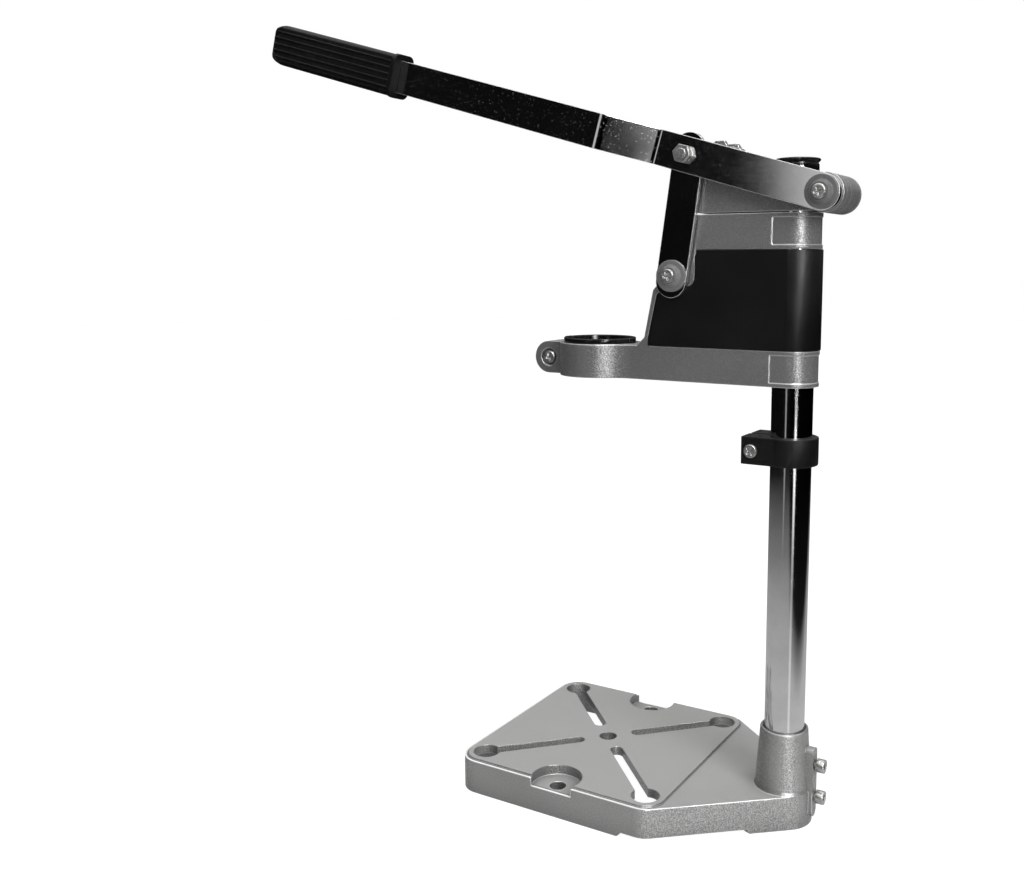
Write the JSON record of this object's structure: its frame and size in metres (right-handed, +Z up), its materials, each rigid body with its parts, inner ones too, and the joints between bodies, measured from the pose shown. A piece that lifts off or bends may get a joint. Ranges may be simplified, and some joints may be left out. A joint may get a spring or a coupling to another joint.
{
  "type": "drill stand",
  "caption": "Bench stand for a hand-held drill: slotted base, chromed column, sprung carriage with a clamping collar, and a hand lever with a link.",
  "frame": {"origin": "centre of the socket's underside, where the column's axis meets the bench", "axes": "+Z up along the column, -X toward the collar and the handle, -Y toward the side that carries the lever and the link"},
  "size_m": [0.4082, 0.15, 0.515],
  "materials": {
    "base_paint": "silver-grey hammered paint over cast aluminium, top face machined",
    "carriage_paint": "mid-grey grained paint over cast aluminium",
    "column_chrome": "chromed steel tube",
    "lever_chrome": "chromed flat steel bar",
    "cover_plastic": "satin black moulded plastic",
    "ring_plastic": "matte black moulded plastic",
    "reducer_plastic": "glossy black moulded plastic",
    "grip_rubber": "matte black ribbed grip",
    "bush_plastic": "dark grey moulded pivot bush",
    "guide_plastic": "black low-friction bush",
    "zinc_steel": "bright zinc-plated steel",
    "spring_steel": "spring wire"
  },
  "bodies": {
    "root": {"base_casting": "base_paint", "socket_screws": "zinc_steel", "column_tube": "column_chrome", "column_cap": "ring_plastic", "return_spring": "spring_steel", "spring_seat_collar": "zinc_steel", "seat_collar_screw": "zinc_steel", "head_bracket": "carriage_paint", "bracket_clamp_bolt": "zinc_steel", "bracket_clamp_nut": "zinc_steel", "lever_pivot_washer": "zinc_steel", "lever_pivot_bush": "bush_plastic", "lever_pivot_screw": "zinc_steel", "lever_pivot_nut": "zinc_steel"},
    "carriage": {"carriage_casting": "carriage_paint", "carriage_cover": "cover_plastic", "upper_guide_bush": "guide_plastic", "lower_guide_bush": "guide_plastic", "reducer_ring": "reducer_plastic", "collar_clamp_screw": "zinc_steel", "collar_clamp_nut": "zinc_steel", "link_pin_washer": "zinc_steel", "link_pin_bush": "bush_plastic", "link_pin_screw": "zinc_steel"},
    "lever": {"lever_bar": "lever_chrome", "lever_grip": "grip_rubber", "link_bolt": "zinc_steel", "link_bolt_nut": "zinc_steel", "link_washer": "zinc_steel"},
    "link": {"link_bar": "lever_chrome"},
    "stop": {"stop_ring": "ring_plastic", "stop_ring_screw": "zinc_steel", "stop_ring_nut": "zinc_steel"}
  },
  "joints": [
    {"name": "carriage_slide", "type": "slide", "parent": "root", "child": "carriage", "axis": [0, 0, -1], "range_m": [0, 0.0295], "stiffness_N_per_m": 700, "springref_m": -0.05, "deforming": ["return_spring"]},
    {"name": "lever_hinge", "type": "hinge", "parent": "root", "child": "lever", "pos_m": [0.0227, 0, 0.3889], "axis": [0, -1, 0], "range_deg": [0, 19.4]},
    {"name": "link_hinge", "type": "hinge", "parent": "lever", "child": "link", "pos_m": [-0.06195, 0, 0.41367], "axis": [0, -1, 0], "range_deg": [-15.7, 0]},
    {"name": "stop_ring_slide", "type": "slide", "parent": "root", "child": "stop", "axis": [0, 0, -1], "range_m": [0, 0.165]}
  ],
  "couplings": [
    {"joint": "lever_hinge", "follows": "carriage_slide", "rad_per_m": 11.3},
    {"joint": "link_hinge", "follows": "carriage_slide", "rad_per_m": -9.13}
  ]
}
